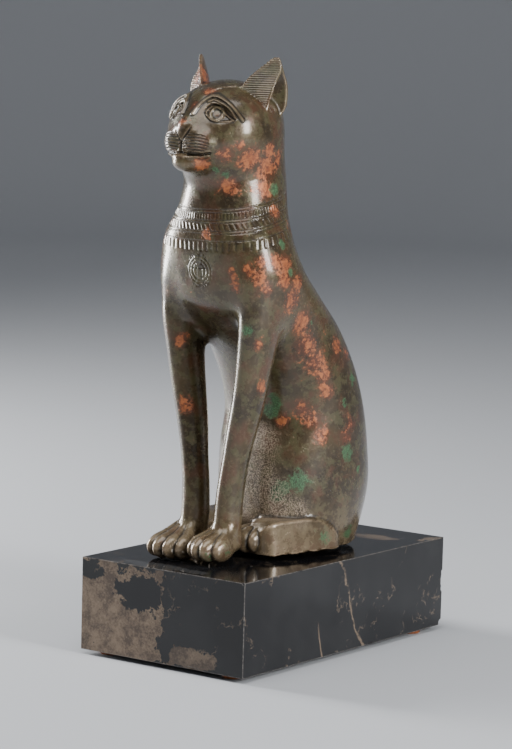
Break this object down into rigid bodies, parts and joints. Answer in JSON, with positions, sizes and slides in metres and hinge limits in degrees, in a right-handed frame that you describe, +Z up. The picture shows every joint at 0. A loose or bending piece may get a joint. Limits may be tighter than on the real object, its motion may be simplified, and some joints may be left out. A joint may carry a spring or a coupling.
{
  "type": "seated cat figure",
  "caption": "Seated cat cast in bronze, with upright ears, an engraved collar and a tail laid along its side, on a polished stone plinth that stands on small round pads.",
  "frame": {"origin": "on the ground, under the middle of the plinth", "axes": "+Z up, -Y the way that the cat faces, +X the cat's left side"},
  "size_m": [0.097, 0.1686, 0.2877],
  "materials": {
    "bronze": "dark olive-brown patinated cast bronze, half glossy, with orange and green patches",
    "marble": "polished black marble with tan-brown patches and thin veins",
    "pad": "orange-brown, slightly glossy"
  },
  "bodies": {
    "root": {"cat": "bronze", "plinth": "marble", "pad_front_right": "pad", "pad_front_left": "pad", "pad_rear_left": "pad", "pad_rear_right": "pad"}
  },
  "joints": []
}
